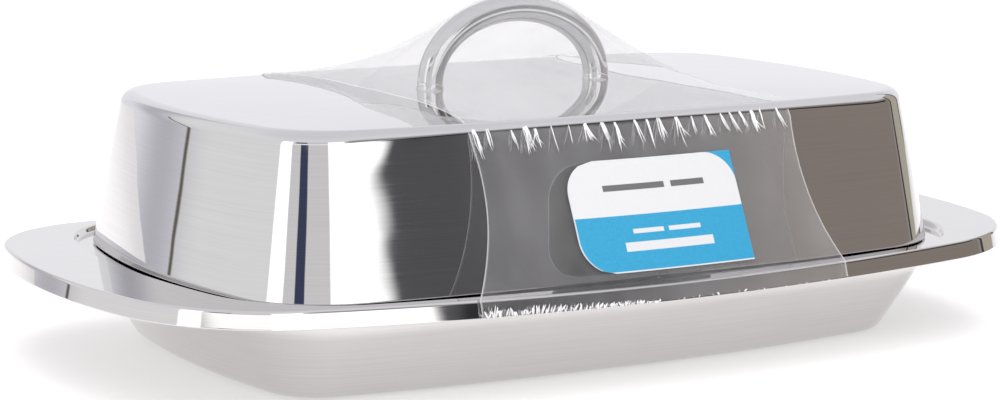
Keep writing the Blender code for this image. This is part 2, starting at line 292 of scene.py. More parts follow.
def dot(a, b):
    return (a * b).sum(axis=-1, keepdims=True)


def side_radius(outline):
    """Radius of the long side's arc, which rises by the side bow over the half length."""
    return (outline.half_length**2 + outline.side_bow**2) / (2 * outline.side_bow)


def side_distance(outline, x, offset=0.0):
    """How far the outline's long side lies from the middle plane at this x, moved out by the offset."""
    radius = side_radius(outline)
    return outline.half_width - radius + math.sqrt((radius + offset) ** 2 - x**2)


def outline_ring(outline, offset, height):
    """One ring of points round the outline, anticlockwise from +X, each arc's radius grown by the offset."""
    side = side_radius(outline)
    end = (outline.half_width**2 + outline.end_bow**2) / (2 * outline.end_bow)
    corner = outline.corner_radius
    side_centre = Vector((0.0, outline.half_width - side))
    end_centre = Vector((outline.half_length - end, 0.0))
    # The corner arc is tangent to both big arcs from inside, so its centre is where two circles cross.
    between = end_centre - side_centre
    distance = between.length
    along = ((side - corner) ** 2 - (end - corner) ** 2 + distance**2) / (2 * distance)
    across = math.sqrt((side - corner) ** 2 - along**2)
    unit_between = between / distance
    square = Vector((unit_between.y, -unit_between.x))
    corner_centre = side_centre + unit_between * along + square * across
    end_angle = math.atan2(corner_centre.y - end_centre.y, corner_centre.x - end_centre.x)
    side_angle = math.atan2(corner_centre.y - side_centre.y, corner_centre.x - side_centre.x)
    arcs = (
        (end_centre, end, 0.0, end_angle, END_STEPS),
        (corner_centre, corner, end_angle, side_angle, CORNER_STEPS),
        (side_centre, side, side_angle, math.pi / 2, SIDE_STEPS),
    )
    quarter = []
    for centre, radius, first, last, steps in arcs:
        for step in range(steps):
            angle = first + (last - first) * step / steps
            reach = radius + offset
            quarter.append((centre.x + reach * math.cos(angle), centre.y + reach * math.sin(angle)))
    quarter.append((0.0, outline.half_width + offset))
    upper = quarter + [(-x, y) for x, y in reversed(quarter[:-1])]
    ring = upper + [(x, -y) for x, y in reversed(upper[1:-1])]
    return np.array([(x, y, height) for x, y in ring])


def fillet_rings(before, corner, after, radius, steps):
    """Rings of an arc that rounds the corner ring between its two neighbours, as far as they leave room."""
    to_before = unit(before - corner)
    to_after = unit(after - corner)
    half_angle = np.arccos(np.clip(dot(to_before, to_after), -1.0, 1.0)) / 2
    nearer = np.minimum(
        np.linalg.norm(before - corner, axis=-1, keepdims=True),
        np.linalg.norm(after - corner, axis=-1, keepdims=True),
    )
    tangent = np.minimum(radius / np.tan(half_angle), FILLET_SHARE * nearer)
    reach = tangent * np.tan(half_angle)
    centre = corner + unit(to_before + to_after) * tangent / np.cos(half_angle)
    start = unit(corner + to_before * tangent - centre)
    end = unit(corner + to_after * tangent - centre)
    sweep = math.pi - 2 * half_angle
    return [
        centre + reach * (start * np.sin(sweep * (1 - s)) + end * np.sin(sweep * s)) / np.sin(sweep)
        for s in np.linspace(0.0, 1.0, steps + 1)
    ]


def rounded(rings, radii, steps):
    """The rings with each inner corner rounded by its radius. A radius of None keeps the ring as it is."""
    result = [rings[0]]
    for index, radius in enumerate(radii, start=1):
        if radius is None:
            result.append(rings[index])
        else:
            result += fillet_rings(rings[index - 1], rings[index], rings[index + 1], radius, steps)
    return result + [rings[-1]]


def with_short_stretches(rings):
    """The rings with more between any two that lie far apart, so that the sheet can wave a little.

    The two nearest to a bend lie close to it, so that smooth shading keeps the flat stretch flat.
    """
    result = [rings[0]]
    for near, far in zip(rings, rings[1:]):
        length = np.linalg.norm(far - near, axis=-1, keepdims=True)
        steps = math.ceil(length.max() / LONGEST_STRETCH)
        shares = [step / steps for step in range(1, steps)]
        if length.min() > HELD_STRETCH:
            hold = BEND_HOLD / length
            between = [share for share in shares if hold.max() < share < 1 - hold.max()]
            shares = [hold, *between, 1 - hold]
        result += [near + (far - near) * share for share in shares] + [far]
    return result


def sheet_rings(front, radii, thickness, steps):
    """Rings down a sheet's front, round its cut edge and back along its other side, one thickness behind."""
    around = [np.roll(ring, -1, axis=0) - np.roll(ring, 1, axis=0) for ring in front]
    stretches = [unit(b - a) for a, b in zip(front, front[1:])]
    normals = [unit(np.cross(s, a + b)) for s, a, b in zip(stretches, around, around[1:])]
    ends = [normals[0], *normals, normals[-1]]
    back = []
    for ring, before, after in zip(front, ends, ends[1:]):
        mitre = unit(before + after)
        back.append(ring - mitre * thickness / dot(mitre, before))
    back_radii = []
    for radius, normal, stretch in zip(radii, normals, stretches[1:]):
        turned_up = dot(stretch, normal).mean() > 0
        if radius is None:
            back_radii.append(None)
        else:
            back_radii.append(radius + thickness if turned_up else max(radius - thickness, LEAST_BEND_RADIUS))
    all_rings = front + back[::-1]
    all_radii = radii + [CUT_EDGE_RADIUS, CUT_EDGE_RADIUS] + back_radii[::-1]
    return with_short_stretches(rounded(all_rings, all_radii, steps))


def disc_rings(outer, middle_height, count):
    """Rings that shrink from an outer ring to its middle, rising as a shallow dome to the middle height."""
    rings = []
    for step in range(1, count):
        scale = step / count
        ring = outer * [scale, scale, 1.0]
        ring[:, 2] += (middle_height - outer[0, 2]) * (1 - scale**2)
        rings.append(ring)
    return rings


def waved(points, depth, reach, seed):
    """The points moved by a smooth field, because a pressed or stretched sheet is never quite true."""
    shift = Vector((seed, -seed, 0.5 * seed))
    moved = [Vector(p) + noise.noise_vector(Vector(p) / reach + shift) * depth for p in points]
    return np.array(moved)


def mesh_from(name, points, faces):
    mesh = bpy.data.meshes.new(name)
    mesh.from_pydata([tuple(p) for p in points], [], faces)
    mesh.update()
    mesh.shade_smooth()
    return mesh


def add_piece(name, mesh, finish, body):
    mesh.materials.append(finish)
    obj = bpy.data.objects.new(name, mesh)
    bpy.context.scene.collection.objects.link(obj)
    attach(obj, body)
    return obj


def shell_mesh(name, rings, wave_depth, wave_reach, seed):
    """A closed mesh of quads between the rings, with a fan to the middle of the first and of the last."""
    count = len(rings[0])
    points = np.concatenate([*rings, [rings[0].mean(axis=0), rings[-1].mean(axis=0)]])
    faces = []
    for row in range(len(rings) - 1):
        for i in range(count):
            j = (i + 1) % count
            near, far = row * count, (row + 1) * count
            faces.append((near + i, far + i, far + j, near + j))
    first_middle = len(points) - 2
    last_middle = len(points) - 1
    last = (len(rings) - 1) * count
    for i in range(count):
        j = (i + 1) % count
        faces.append((first_middle, i, j))
        faces.append((last_middle, last + j, last + i))
    return mesh_from(name, waved(points, wave_depth, wave_reach, seed), faces)


def crown_height(scale):
    """Height of the lid's slightly domed top where the shoulder outline is shrunk to this scale."""
    return LID_SHOULDER + LID_CROWN * (1 - scale**2)


def lid_top_at(x):
    return crown_height(x / (LID_OUTLINE.half_length - SHOULDER_INSET))


# ---------------------------------------------------------------- steel pieces


def flange_rise(x):
    """How much higher the flange lies here than at the middle of its long sides, as on a boat's gunwale."""
    return FLANGE_END_RISE * (x / RIM_OUTLINE.half_length) ** 2


def raised(ring):
    result = ring.copy()
    result[:, 2] += flange_rise(ring[:, 0])
    return result


def tray_piece(finish):
    floor = outline_ring(BASE_OUTLINE, -FLOOR_FLAT_MARGIN, TRAY_SHEET)
    inner = disc_rings(floor, TRAY_SHEET, FLOOR_RINGS)
    front = inner + [
        floor,
        outline_ring(BASE_OUTLINE, -TRAY_SHEET / 2, TRAY_SHEET),
        outline_ring(LID_OUTLINE, -SEAT_UNDER_LID, SEAT_HEIGHT - KNEE_BELOW_SEAT),
        outline_ring(LID_OUTLINE, -SEAT_UNDER_LID, SEAT_HEIGHT),
        outline_ring(LID_OUTLINE, SEAT_OUTSIDE_LID, SEAT_HEIGHT),
        raised(outline_ring(LID_OUTLINE, SEAT_OUTSIDE_LID + RECESS_DRAFT, FLANGE_HEIGHT)),
        raised(outline_ring(RIM_OUTLINE, -LIP_FLARE, FLANGE_HEIGHT)),
        raised(outline_ring(RIM_OUTLINE, 0.0, FLANGE_HEIGHT - LIP_HEIGHT)),
    ]
    radii = [None] * len(inner) + [
        FLOOR_FILLET,
        KNEE_FILLET,
        SEAT_FILLET,
        RECESS_FILLET,
        CREST_FILLET,
        CREASE_FILLET,
    ]
    rings = sheet_rings(front, radii, TRAY_SHEET, FILLET_STEPS)
    piece = add_piece("tray_pressing", shell_mesh("tray_pressing", rings, *TRAY_WAVE), finish, "tray")
    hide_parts("tray")


def lid_piece(finish):
    shoulder = outline_ring(LID_OUTLINE, -SHOULDER_INSET, LID_SHOULDER)
    foot = outline_ring(LID_OUTLINE, 0.0, LID_FOOT - LID_SETTLES)
    front = disc_rings(shoulder, crown_height(0.0), CROWN_RINGS) + [shoulder, foot]
    radii = [None] * (CROWN_RINGS - 2) + [LID_SHOULDER_RADIUS]
    rings = sheet_rings(front, radii, LID_SHEET, SHOULDER_STEPS)
    piece = add_piece("lid_pressing", shell_mesh("lid_pressing", rings, *LID_WAVE), finish, "lid")
    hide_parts("lid_shell")


def handle_piece(finish):
    """A bent wire whose ends stand on the lid, each in a small fillet of weld."""
    foot = lid_top_at(HANDLE_HALF_SPAN) - LID_SHEET / 2
    arc_start = WIRE_LOW.z + HANDLE_STUB
    rise = WIRE_HIGH.z - WIRE_RADIUS - arc_start
    path = [(-HANDLE_HALF_SPAN, foot + (arc_start - foot) * k / STUB_STEPS) for k in range(STUB_STEPS)]
    for step in range(HANDLE_STEPS + 1):
        angle = math.pi * (1 - step / HANDLE_STEPS)
        path.append((HANDLE_HALF_SPAN * math.cos(angle), arc_start + rise * math.sin(angle)))
    path += [(-x, z) for x, z in reversed(path[:STUB_STEPS])]
    centres = np.array([(x, 0.0, z) for x, z in path])
    along = unit(np.gradient(centres, axis=0))
    across = np.array([0.0, 1.0, 0.0])
    above_lid = centres[:, 2] - lid_top_at(HANDLE_HALF_SPAN)
    radius = WIRE_RADIUS + WELD_FLARE * np.exp(-np.clip(above_lid, 0.0, None) / WELD_HEIGHT)
    points = []
    for centre, direction, size in zip(centres, along, radius):
        outward = np.cross(direction, across)
        for k in range(WIRE_SIDES):
            angle = 2 * math.pi * k / WIRE_SIDES
            points.append(centre + size * (math.cos(angle) * across + math.sin(angle) * outward))
    faces = []
    for row in range(len(centres) - 1):
        for i in range(WIRE_SIDES):
            j = (i + 1) % WIRE_SIDES
            near, far = row * WIRE_SIDES, (row + 1) * WIRE_SIDES
            faces.append((near + i, near + j, far + j, far + i))
    last = (len(centres) - 1) * WIRE_SIDES
    faces.append(tuple(reversed(range(WIRE_SIDES))))
    faces.append(tuple(range(last, last + WIRE_SIDES)))
    mesh = mesh_from("handle_wire", waved(points, *HANDLE_WAVE), faces)
    piece = add_piece("handle_wire", mesh, finish, "lid")
    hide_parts("lid_handle")


# ---------------------------------------------------------------- film


def arc_points(centre, radius, first, last, steps):
    """Points (distance, height) along an arc from its first angle to its last, both ends included."""
    angles = [first + (last - first) * step / steps for step in range(steps + 1)]
    return [Vector((centre.x + radius * math.cos(a), centre.y + radius * math.sin(a))) for a in angles]


def ridge_height(x):
    """The film over the middle plane: it lies on the handle, then runs straight to the film's edge."""
    centre = WIRE_LOW.z
    wide = HANDLE_HALF_SPAN + WIRE_RADIUS + FILM_CLEARANCE
    high = WIRE_HIGH.z + FILM_CLEARANCE - centre
    edge_x = FILM_TOP_HALF
    edge_z = lid_top_at(edge_x) + FILM_CLEARANCE + LID_CROWN - centre
    # Squeezed to a circle, the handle's outer ellipse has its tangent from the edge at this angle.
    edge_angle = math.atan2(edge_z * wide / high, edge_x)
    edge_distance = math.hypot(edge_x, edge_z * wide / high)
    touch = edge_angle + math.acos(wide / edge_distance)
    touch_x = wide * math.cos(touch)
    touch_z = high * math.sin(touch)
    if abs(x) <= touch_x:
        return centre + high * math.sqrt(1 - (x / wide) ** 2)
    return centre + touch_z + (edge_z - touch_z) * (abs(x) - touch_x) / (edge_x - touch_x)


def shoulder_circle(x):
    """The film's bend over the lid's shoulder: its middle, as distance out and height, and its radius."""
    wall_inset = (LID_HEIGHT - LID_SHOULDER_RADIUS) * math.tan(LID_DRAFT)
    distance = side_distance(LID_OUTLINE, x, -wall_inset) - LID_SHOULDER_RADIUS / math.cos(LID_DRAFT)
    height = crown_height(distance / (LID_OUTLINE.half_width - SHOULDER_INSET)) - LID_SHOULDER_RADIUS
    return Vector((distance, height)), LID_SHOULDER_RADIUS + FILM_CLEARANCE


def shoulder_tangent(x, start):
    """Angle on the shoulder circle where a taut sheet from the start point first touches it."""
    centre, radius = shoulder_circle(x)
    away = start - centre
    return math.atan2(away.y, away.x) + math.acos(radius / away.length)


def rim_crease(x):
    """Where the film bends over the tray's rim, as distance out and height."""
    distance = side_distance(RIM_OUTLINE, x, FILM_CLEARANCE - LIP_FLARE)
    return Vector((distance, FLANGE_HEIGHT + flange_rise(x)))


def torn_edge(x):
    """Where the film ends beside the foot of the lip, as distance out and height."""
    distance = side_distance(RIM_OUTLINE, x, FILM_CLEARANCE)
    return Vector((distance, FLANGE_HEIGHT - LIP_HEIGHT + FILM_TEAR + flange_rise(x)))


def half_section(share):
    """The film from its torn edge at the lip up to the ridge, as points (x, distance, height)."""
    lip_x = share * FILM_LIP_HALF
    top_x = share * FILM_TOP_HALF
    crease = rim_crease(lip_x)
    torn = torn_edge(lip_x)
    centre, radius = shoulder_circle(top_x)
    start_angle = shoulder_tangent(top_x, crease)
    wire_radius = WIRE_RADIUS + FILM_CLEARANCE
    wire = Vector((0.0, ridge_height(top_x) - wire_radius))
    # The common tangent of the two bends has the same normal angle on both.
    between = wire - centre
    turn = math.acos((radius - wire_radius) / between.length)
    end_angle = math.atan2(between.y, between.x) - turn
    shoulder = arc_points(centre, radius, start_angle, end_angle, FILM_BEND_STEPS)
    over_wire = arc_points(wire, wire_radius, end_angle, math.pi / 2, FILM_BEND_STEPS)
    corners = [
        np.array([[lip_x, *torn]]),
        np.array([[lip_x, *crease]]),
        np.array([[top_x, *shoulder[0]]]),
    ]
    bend = [ring[0] for ring in fillet_rings(*corners, FILM_LIP_FILLET, FILM_BEND_STEPS)]
    lip = [corners[0][0] + (bend[0] - corners[0][0]) * k / FILM_BEND_STEPS for k in range(FILM_BEND_STEPS)]
    panel = stretch(bend[-1], corners[2][0], FILM_PANEL_STEPS, share)
    over = [np.array([top_x, *point]) for point in shoulder]
    roof = stretch(over[-1], np.array([top_x, *over_wire[0]]), FILM_PANEL_STEPS, share)
    return lip + bend + panel + over + roof + [np.array([top_x, *point]) for point in over_wire]


def stretch(near, far, steps, share):
    """Points between two, both ends left out, drawn in towards the middle as a taut free edge is."""
    points = []
    for step in range(1, steps):
        t = step / steps
        point = near + (far - near) * t
        point[0] *= 1 - FILM_EDGE_PULL * share**2 * 4 * t * (1 - t)
        points.append(point)
    return points


def film_grid():
    """Rows of points across the film, each from the front lip over the handle to the back lip."""
    rows = []
    for station in range(FILM_STATIONS + 1):
        half = half_section(2 * station / FILM_STATIONS - 1)
        front = [point * [1.0, -1.0, 1.0] for point in half]
        rows.append(front + [point.copy() for point in half[-2::-1]])
    return np.array(rows)


def grid_normals(grid):
    across = np.gradient(grid, axis=0)
    along = np.gradient(grid, axis=1)
    return unit(np.cross(across, along))


def wrinkled(grid):
    """Fine drawn folds along the film's free stretches, none where it lies on the steel."""
    normals = grid_normals(grid)
    result = grid.copy()
    for row in range(grid.shape[0]):
        for column in range(grid.shape[1]):
            x, y, z = grid[row, column]
            free = free_stretch(abs(y), z)
            fold = noise.noise(Vector((x / FOLD_ACROSS, y / FOLD_ALONG, z / FOLD_ALONG + 5.0)))
            swell = noise.noise(Vector((x / SWELL_REACH, y / SWELL_REACH, z / SWELL_REACH)))
            result[row, column] += normals[row, column] * free * (fold * FOLD_DEPTH + swell * SWELL_DEPTH)
    return result


def free_stretch(distance, height):
    """From 0 where the film touches steel to 1 in the middle of the panels between."""
    if height < LID_SHOULDER - LID_SHOULDER_RADIUS:
        t = (height - FLANGE_HEIGHT) / (LID_SHOULDER - LID_SHOULDER_RADIUS - FLANGE_HEIGHT)
    else:
        t = distance / (LID_OUTLINE.half_width - SHOULDER_INSET - LID_SHOULDER_RADIUS)
    t = min(max(t, 0.0), 1.0)
    return 4 * t * (1 - t)


def turn_outwards(mesh):
    made = bmesh.new()
    made.from_mesh(mesh)
    bmesh.ops.recalc_face_normals(made, faces=made.faces)
    made.to_mesh(mesh)
    made.free()


def sheet_solid(name, grid, thickness, layout=None, back_shift=0.0):
    """A thin closed sheet: the grid is its inner face and the outer one lies a thickness in front.

    Its layout map holds the given pairs, or else each point's shares of the grid's two sides. The shift
    moves the inner face's pairs aside, so that a finish can tell the two faces apart.
    """
    normals = grid_normals(grid)
    rows, columns, _ = grid.shape
    inner = grid.reshape(-1, 3)
    outer = (grid + normals * thickness).reshape(-1, 3)
    half = rows * columns
    faces = []
    for r in range(rows - 1):
        for c in range(columns - 1):
            a = r * columns + c
            b, d = a + 1, a + columns
            e = d + 1
            faces.append((half + a, half + d, half + e, half + b))
            faces.append((a, b, e, d))
    rim = [r * columns for r in range(rows)]
    rim += [(rows - 1) * columns + c for c in range(1, columns)]
    rim += [r * columns + columns - 1 for r in range(rows - 2, -1, -1)]
    rim += [c for c in range(columns - 2, 0, -1)]
    for a, b in zip(rim, rim[1:] + rim[:1]):
        faces.append((a, b, half + b, half + a))
    mesh = mesh_from(name, np.concatenate([inner, outer]), faces)
    turn_outwards(mesh)
    layer = mesh.uv_layers.new(name="layout")
    for loop in mesh.loops:
        r, c = divmod(loop.vertex_index % half, columns)
        u, v = layout[r][c] if layout else (r / (rows - 1), c / (columns - 1))
        layer.data[loop.index].uv = (u + back_shift * (loop.vertex_index < half), v)
    mesh.set_sharp_from_angle(angle=SHARP_ANGLE)
    return mesh


def film_piece(finish):
    grid = wrinkled(film_grid())
    mesh = sheet_solid("wrap_film", grid, FILM_SHEET)
    piece = add_piece("wrap_film", mesh, finish, "film")
    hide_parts("film_cover")


# ---------------------------------------------------------------- label and fringes


def front_panel_point(x, up, lift):
    """A point on the film's front panel, so far up it from the rim and lifted off it."""
    low = rim_crease(x)
    centre, radius = shoulder_circle(x)
    angle = shoulder_tangent(x, low)
    high = centre + Vector((math.cos(angle), math.sin(angle))) * radius
    slope = (high - low).normalized()
    place = low + slope * up + Vector((slope.y, -slope.x)) * lift
    return np.array([x, -place.x, place.y])


def panel_length(x):
    low = rim_crease(x)
    centre, radius = shoulder_circle(x)
    return math.sqrt((centre - low).length_squared - radius**2)


def label_piece(finish):
    """A sticker on the front panel with round corners on its left side. Its layout map is in label widths."""
    grid, layout = [], []
    for column in range(LABEL_COLUMNS + 1):
        along = column / LABEL_COLUMNS
        grid.append([])
        layout.append([])
        for row in range(LABEL_ROWS + 1):
            up = LABEL_HEIGHT * row / LABEL_ROWS
            over = max(LABEL_CORNER_RADIUS - up, up - LABEL_HEIGHT + LABEL_CORNER_RADIUS, 0.0)
            cut = LABEL_CORNER_RADIUS - math.sqrt(LABEL_CORNER_RADIUS**2 - over**2)
            x = cut + (LABEL_WIDTH - cut) * along
            lift = FILM_SHEET + GAP
            grid[-1].append(front_panel_point(LABEL_LOW.x + x, LABEL_ABOVE_RIM + up, lift))
            layout[-1].append((x / LABEL_WIDTH, up / LABEL_HEIGHT))
    mesh = sheet_solid("blank_label", np.array(grid), LABEL_SHEET, layout, LABEL_BACK_SHIFT)
    piece = add_piece("blank_label", mesh, finish, "film")
    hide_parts("film_label")


def front_film_point(x, up, lift):
    """As front_panel_point, but past the panel's top it follows the film on over the shoulder."""
    past = up - panel_length(x)
    if past <= 0:
        return Vector(front_panel_point(x, up, lift))
    centre, radius = shoulder_circle(x)
    angle = shoulder_tangent(x, rim_crease(x)) + past / radius
    place = centre + Vector((math.cos(angle), math.sin(angle))) * (radius + lift)
    return Vector((x, -place.x, place.y))


def strand(points, faces, path, thickness):
    """Adds one thin thread of film along the path, a little swollen at its middle and drawn out to a tip."""
    first = len(points)
    direction = (path[-1] - path[0]).normalized()
    side = direction.cross(Vector((0.0, 1.0, 0.0))).normalized()
    other = direction.cross(side)
    last = len(path) - 1
    for step, middle in enumerate(path[:-1]):
        size = thickness * (0.7 + 1.2 * math.sin(math.pi * step / last) * (1 - step / last))
        for k in range(STRAND_SIDES):
            angle = 2 * math.pi * k / STRAND_SIDES
            points.append(middle + (side * math.cos(angle) + other * math.sin(angle)) * size)
    points.append(path[-1])
    for step in range(last - 1):
        for k in range(STRAND_SIDES):
            a = first + STRAND_SIDES * step + k
            b = first + STRAND_SIDES * step + (k + 1) % STRAND_SIDES
            faces.append((a, b, b + STRAND_SIDES, a + STRAND_SIDES))
    tail = first + STRAND_SIDES * (last - 1)
    faces.append(tuple(first + k for k in reversed(range(STRAND_SIDES))))
    for k in range(STRAND_SIDES):
        faces.append((tail + k, tail + (k + 1) % STRAND_SIDES, len(points) - 1))


def shoulder_fringe(finish):
    """Shreds of stretched film in tufts that start on the lid's front shoulder and hang over the panel."""
    draw = random.Random(FRINGE_SEED)
    points, faces = [], []
    x = -FILM_TOP_HALF + FRINGE_MARGIN
    while x < FILM_TOP_HALF - FRINGE_MARGIN:
        across = (x + FILM_TOP_HALF) / (2 * FILM_TOP_HALF)
        threads = draw.choice(TUFT_THREADS)
        to_right_end = max(across - TUFT_SHORTER_FROM, 0.0) / (1 - TUFT_SHORTER_FROM)
        drop = draw.uniform(*TUFT_DROP) * (1 - TUFT_SHORTER * to_right_end)
        lean = draw.uniform(*TUFT_LEAN)
        top = panel_length(x)
        over = draw.uniform(*TUFT_OVER_SHOULDER)
        for _ in range(threads):
            start = x + draw.uniform(-THREAD_APART, THREAD_APART) * threads**0.5
            spread = lean + draw.gauss(0.0, THREAD_SPREAD) * threads**0.5
            length = drop * draw.uniform(*THREAD_LENGTH)
            lift = draw.uniform(*THREAD_LIFT)
            curl = draw.uniform(*THREAD_CURL)
            path = []
            for step in range(STRAND_STEPS + 1):
                t = step / STRAND_STEPS
                up = top + over - (over + length) * t
                x_here = start + spread * t**1.5 + curl * math.sin(math.pi * t)
                off = FILM_SHEET + THREAD_CLEARANCE + lift * t**2
                path.append(front_film_point(x_here, up, off))
            strand(points, faces, path, draw.uniform(*THREAD_RADIUS))
        x += draw.uniform(*TUFT_STEP)
    mesh = mesh_from("shoulder_fringe", points, faces)
    piece = add_piece("shoulder_fringe", mesh, finish, "film")


def lip_fringe(finish):
    """Short white teeth along the torn lower edge, close together at the left end."""
    draw = random.Random(FRINGE_SEED + 1)
    points, faces = [], []
    x = -FILM_LIP_HALF + FRINGE_MARGIN
    while x < FILM_LIP_HALF - FRINGE_MARGIN:
        across = (x + FILM_LIP_HALF) / (2 * FILM_LIP_HALF)
        tallest = TOOTH_HEIGHT * max(1 - TOOTH_TAPER * across, TOOTH_LEAST)
        crowded = across < TOOTH_CROWDED
        for _ in range(draw.choice(TOOTH_CLUSTER) if crowded else 1):
            start = x + draw.uniform(-TOOTH_APART, TOOTH_APART)
            low = torn_edge(start)
            out = low.x + FILM_SHEET + TOOTH_CLEARANCE
            root = Vector((start, -out, low.y - draw.uniform(*TOOTH_ROOT)))
            rise = tallest * draw.uniform(*TOOTH_RISE)
            reach = Vector((draw.gauss(0.0, TOOTH_LEAN), -draw.uniform(*TOOTH_OUT), rise))
            path = [root + reach * (step / STRAND_STEPS) for step in range(STRAND_STEPS + 1)]
            strand(points, faces, path, draw.uniform(*TOOTH_RADIUS))
        x += draw.uniform(*TOOTH_STEP) * (1 if crowded else TOOTH_SPARSE)
    mesh = mesh_from("lip_fringe", points, faces)
    piece = add_piece("lip_fringe", mesh, finish, "film")


# ---------------------------------------------------------------- materials


def node(tree, kind, inputs=None, **settings):
    """A new node with its settings made and each named input either linked or given a value."""
    made = tree.nodes.new(kind)
    for name, value in settings.items():
        setattr(made, name, value)
    for name, value in (inputs or {}).items():
        if isinstance(value, bpy.types.NodeSocket):
            tree.links.new(value, made.inputs[name])
        else:
            made.inputs[name].default_value = value
    return made


def calculate(tree, operation, *values, clamp=False):
    inputs = dict(enumerate(values))
    return node(tree, "ShaderNodeMath", inputs, operation=operation, use_clamp=clamp).outputs[0]


def ramp(tree, value, low, high, to_low=0.0, to_high=1.0):
    """The value carried smoothly from one range to another, and held at its ends."""
    inputs = {"Value": value, "From Min": low, "From Max": high, "To Min": to_low, "To Max": to_high}
    made = node(tree, "ShaderNodeMapRange", inputs, interpolation_type="SMOOTHSTEP")
    return made.outputs["Result"]


def mixed(tree, factor, a, b):
    """Two colours mixed by a factor."""
    inputs = {0: factor, 6: a, 7: b}
    return node(tree, "ShaderNodeMix", inputs, data_type="RGBA").outputs[2]


def pattern(tree, place, scale, detail=2.0, roughness=0.5):
    """Noise of the given scale along each axis, in turns a metre."""
    moved = node(tree, "ShaderNodeMapping", {"Vector": place, "Scale": scale}, vector_type="POINT")
    inputs = {"Vector": moved.outputs[0], "Scale": 1.0, "Detail": detail, "Roughness": roughness}
    return node(tree, "ShaderNodeTexNoise", inputs).outputs["Fac"]


def new_material(name):
    made = bpy.data.materials.new(name)
    made.use_nodes = True
    tree = made.node_tree
    shader = tree.nodes["Principled BSDF"]
    place = node(tree, "ShaderNodeTexCoord").outputs["Object"]
    return made, tree, shader, place


def polished_steel(name, tint, roughness):
    """Bright stainless steel with a fine lengthwise grain, faint smudges, wipe marks and shallow dents."""
    made, tree, shader, place = new_material(name)
    normal = node(tree, "ShaderNodeNewGeometry").outputs["Normal"]
    level = node(tree, "ShaderNodeSeparateXYZ", {"Vector": normal}).outputs["Z"]
    flatness = ramp(tree, calculate(tree, "ABSOLUTE", level), 0.75, 0.95)
    wall_grain = pattern(tree, place, WALL_GRAIN, 3.0, 0.6)
    top_grain = pattern(tree, place, TOP_GRAIN, 3.0, 0.6)
    grain = node(tree, "ShaderNodeMix", {0: flatness, 2: wall_grain, 3: top_grain}).outputs[0]
    smudge = pattern(tree, place, SMUDGES, 4.0, 0.55)
    wipes = pattern(tree, place, WIPES, 2.0, 0.5)
    dull = ramp(tree, smudge, 0.46, 0.72)
    streak = ramp(tree, grain, 0.35, 0.70)
    rough = calculate(tree, "MULTIPLY_ADD", dull, SMUDGE_ROUGHNESS, roughness)
    rough = calculate(tree, "MULTIPLY_ADD", streak, GRAIN_ROUGHNESS, rough)
    rough = calculate(tree, "MULTIPLY_ADD", wipes, WIPE_ROUGHNESS, rough)
    tree.links.new(rough, shader.inputs["Roughness"])
    shade = calculate(tree, "MULTIPLY", dull, SMUDGE_SHADE)
    shade = calculate(tree, "MULTIPLY_ADD", grain, GRAIN_SHADE, shade)
    shade = calculate(tree, "ADD", shade, LEAST_SHADE)
    bright = node(tree, "ShaderNodeCombineColor", {"Red": shade, "Green": shade, "Blue": shade})
    inputs = {0: 1.0, 6: (*tint, 1.0), 7: bright.outputs[0]}
    colour = node(tree, "ShaderNodeMix", inputs, data_type="RGBA", blend_type="MULTIPLY").outputs[2]
    tree.links.new(colour, shader.inputs["Base Color"])
    shader.inputs["Metallic"].default_value = 1.0
    dents = pattern(tree, place, DENTS, 1.0, 0.4)
    inputs = {"Strength": 1.0, "Distance": GRAIN_DEPTH, "Height": grain}
    fine = node(tree, "ShaderNodeBump", inputs).outputs[0]
    inputs = {"Strength": 1.0, "Distance": DENT_DEPTH, "Height": dents, "Normal": fine}
    tree.links.new(node(tree, "ShaderNodeBump", inputs).outputs[0], shader.inputs["Normal"])
    return made


def clear_film():
    """Shrink film: a faint white veil, whiter where it is seen edge on and along its cut edges."""
    made, tree, shader, place = new_material("clear_film")
    layout = node(tree, "ShaderNodeUVMap", uv_map="layout").outputs[0]
    across = node(tree, "ShaderNodeSeparateXYZ", {"Vector": layout}).outputs["X"]
    from_edge = calculate(tree, "MINIMUM", across, calculate(tree, "SUBTRACT", 1.0, across))
    edge = ramp(tree, from_edge, 0.0, 0.007, 1.0, 0.0)
    facing = node(tree, "ShaderNodeLayerWeight", {"Blend": 0.35}).outputs["Facing"]
    cloud = pattern(tree, place, (120.0, 45.0, 45.0), 3.0, 0.6)
    veil = ramp(tree, cloud, 0.35, 0.75, 0.03, 0.07)
    alpha = calculate(tree, "MULTIPLY_ADD", facing, 0.26, veil)
    alpha = calculate(tree, "MULTIPLY_ADD", edge, 0.35, alpha, clamp=True)
    tree.links.new(alpha, shader.inputs["Alpha"])
    white = mixed(tree, edge, (0.56, 0.56, 0.565, 1.0), (0.68, 0.68, 0.68, 1.0))
    tree.links.new(white, shader.inputs["Base Color"])
    tree.links.new(ramp(tree, cloud, 0.3, 0.8, 0.08, 0.22), shader.inputs["Roughness"])
    shader.inputs["IOR"].default_value = 1.5
    fold = pattern(tree, place, (420.0, 60.0, 60.0), 2.0, 0.5)
    inputs = {"Strength": 0.6, "Distance": 0.0002, "Height": fold}
    tree.links.new(node(tree, "ShaderNodeBump", inputs).outputs[0], shader.inputs["Normal"])
    return made


def torn_film():
    """Stretched shreds of the same film, drawn out until they turn white."""
    made, tree, shader, place = new_material("torn_film")
    pull = pattern(tree, place, (900.0, 900.0, 250.0), 2.0, 0.5)
    colour = mixed(tree, pull, (0.80, 0.80, 0.82, 1.0), (0.98, 0.98, 0.98, 1.0))
    tree.links.new(colour, shader.inputs["Base Color"])
    tree.links.new(ramp(tree, pull, 0.25, 0.65, 0.70, 1.0), shader.inputs["Alpha"])
    tree.links.new(ramp(tree, pull, 0.2, 0.8, 0.25, 0.45), shader.inputs["Roughness"])
    return made


